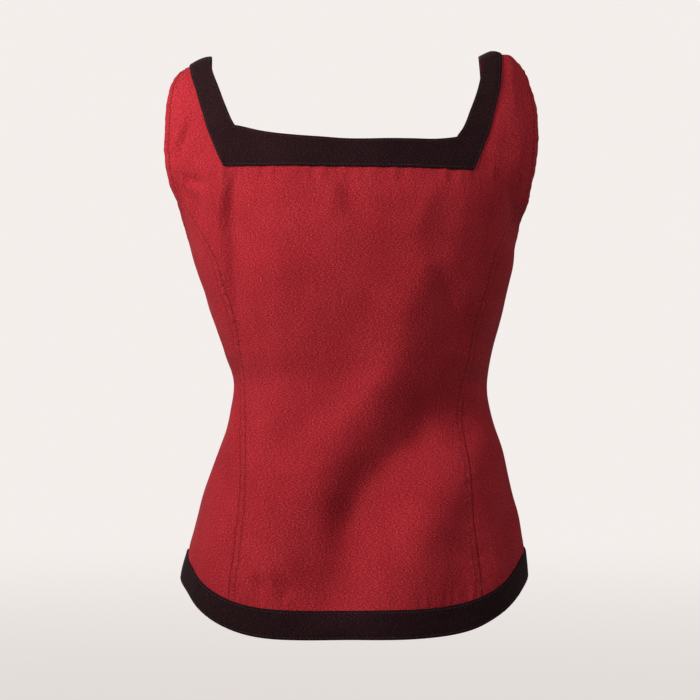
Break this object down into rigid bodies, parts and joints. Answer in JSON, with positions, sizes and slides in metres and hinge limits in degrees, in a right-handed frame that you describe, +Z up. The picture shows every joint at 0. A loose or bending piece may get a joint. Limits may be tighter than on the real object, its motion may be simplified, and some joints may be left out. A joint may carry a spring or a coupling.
{
  "type": "square-neck bodice",
  "caption": "Sleeveless fitted historic bodice: square neck, wide straps, long shaped seams and dark bands round the neck and the dipped hem, in its worn shape.",
  "frame": {"origin": "midway between the undersides of the two straps on the shoulder line, where the wearer's shoulders hold the bodice up", "axes": "+Z up along the wearer's body, -Y towards the wearer's front, +X towards the wearer's left"},
  "size_m": [0.3758, 0.2475, 0.5883],
  "materials": {
    "red_canvas": "matt plain-weave canvas with lighter flecks in the yarn",
    "dark_canvas": "matt brown-black plain-weave canvas"
  },
  "bodies": {
    "root": {"back_panel": "red_canvas", "side_panel_left": "red_canvas", "side_panel_right": "red_canvas", "front_panel_left": "red_canvas", "front_panel_right": "red_canvas", "neck_band_back": "dark_canvas", "neck_band_front_left": "dark_canvas", "neck_band_front_right": "dark_canvas", "strap_band_left": "dark_canvas", "strap_band_right": "dark_canvas", "hem_band_back": "dark_canvas", "hem_band_front_left": "dark_canvas", "hem_band_front_right": "dark_canvas"}
  },
  "joints": []
}
